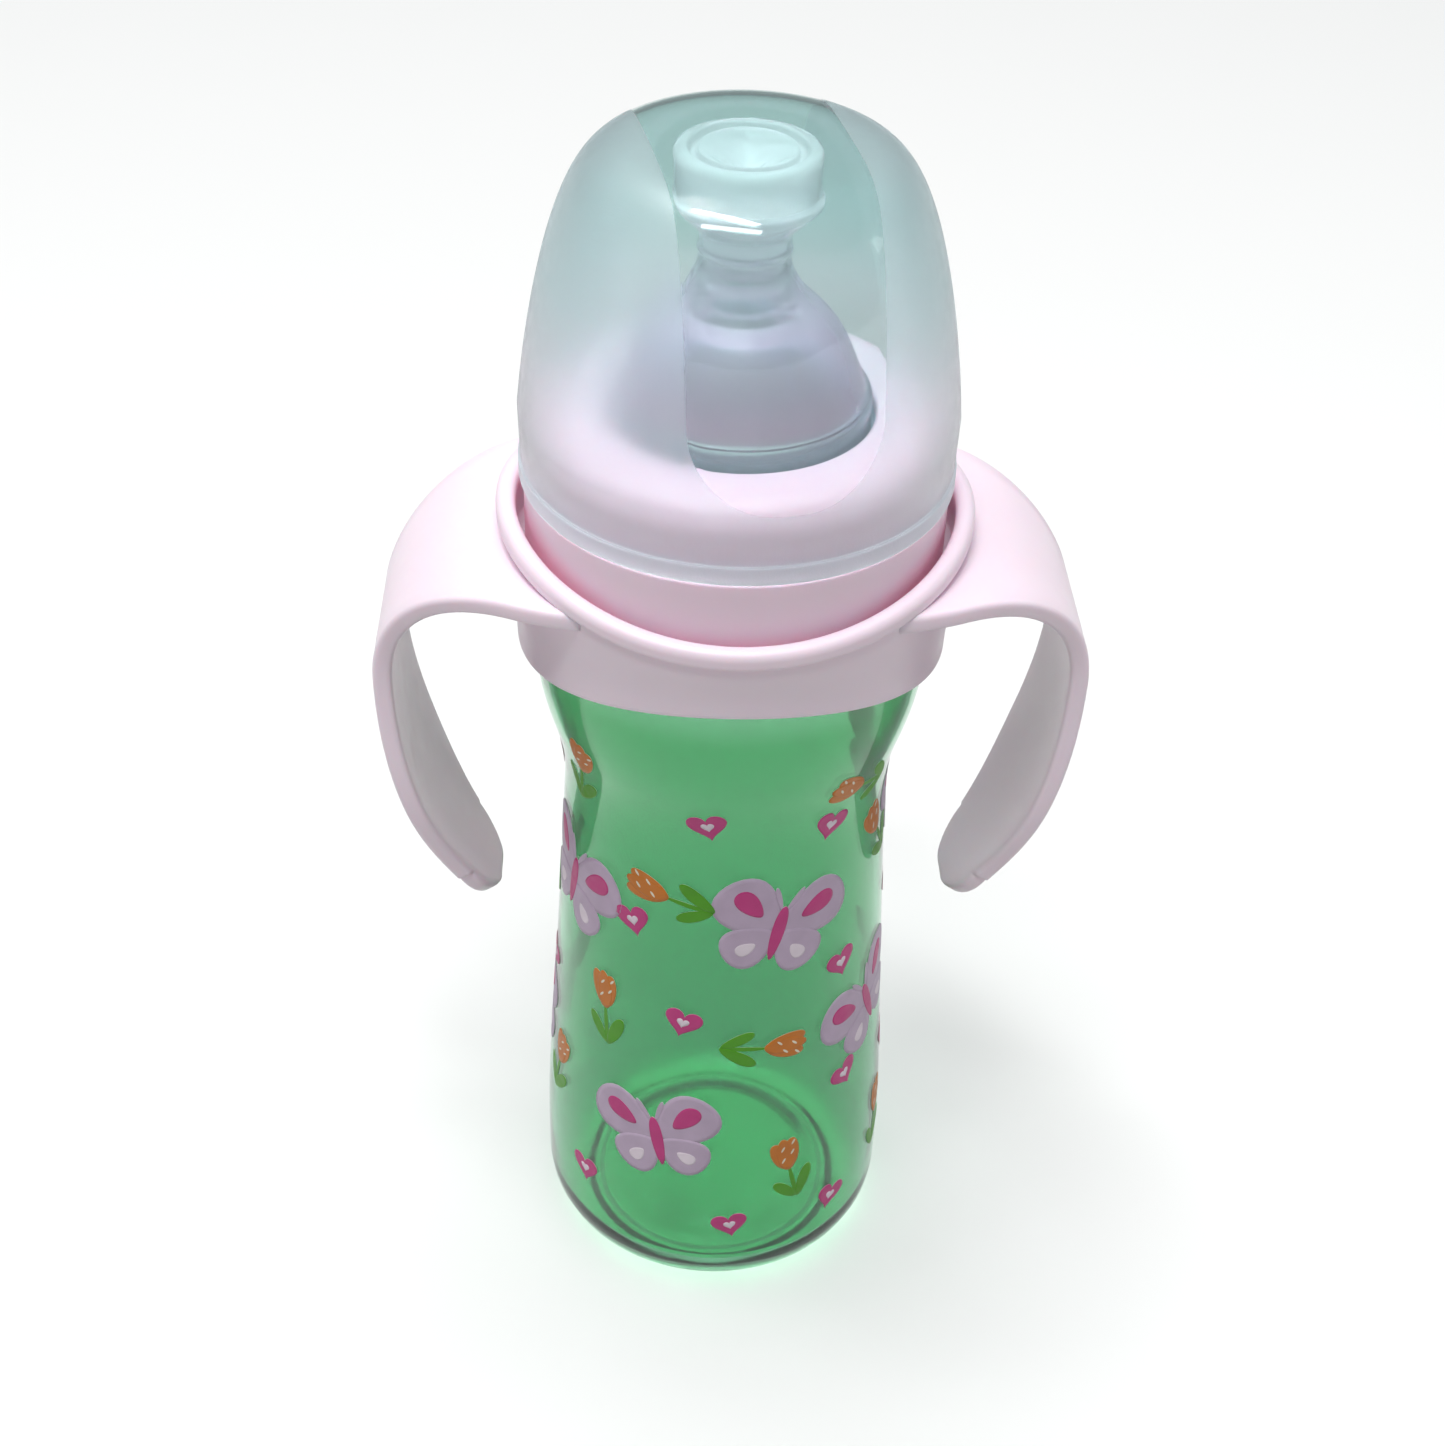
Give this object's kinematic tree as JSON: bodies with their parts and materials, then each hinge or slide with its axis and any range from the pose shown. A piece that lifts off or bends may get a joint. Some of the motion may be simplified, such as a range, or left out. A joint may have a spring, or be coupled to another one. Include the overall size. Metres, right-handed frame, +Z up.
{
  "type": "baby bottle",
  "caption": "Clear hourglass feeding bottle with a screw-on drinking spout, a domed dust hood and a collar with two handles.",
  "frame": {"origin": "centre of the circle on which the bottle stands, on its axis", "axes": "+Z up along the bottle's axis; the two handles lie along X, one on each side"},
  "size_m": [0.1124, 0.0734, 0.2109],
  "materials": {
    "clear_plastic": "clear blown polypropylene, glossy",
    "pink_plastic": "moulded satin gloss",
    "pink_ring": "moulded satin gloss",
    "silicone": "clear soft silicone",
    "frosted_plastic": "frosted outside with a polished clear band over the top",
    "print_ink": "screen-printed ink on the bottle"
  },
  "bodies": {
    "bottle_body": {"bottle": "clear_plastic"},
    "handles": {"handle_ring": "pink_plastic"},
    "spout_body": {"spout": "silicone"},
    "ring": {"screw_ring": "pink_ring"},
    "cover": {"hood": "frosted_plastic"}
  },
  "joints": [
    {"name": "handle_turn", "type": "hinge", "parent": "bottle_body", "child": "handles", "pos_m": [0, 0, 0.1445], "axis": [0, 0, 1], "continuous": true},
    {"name": "ring_lift", "type": "slide", "parent": "bottle_body", "child": "spout_body", "axis": [0, 0, 1], "range_m": [0, 0.0086]},
    {"name": "ring_turn", "type": "hinge", "parent": "spout_body", "child": "ring", "pos_m": [0, 0, 0.158], "axis": [0, 0, 1], "range_deg": [0, 680]},
    {"name": "hood_lift", "type": "slide", "parent": "ring", "child": "cover", "axis": [0, 0, 1], "range_m": [0, 0.06]}
  ],
  "couplings": [
    {"joint": "ring_lift", "follows": "ring_turn", "m_per_rad": 0.0007162}
  ]
}
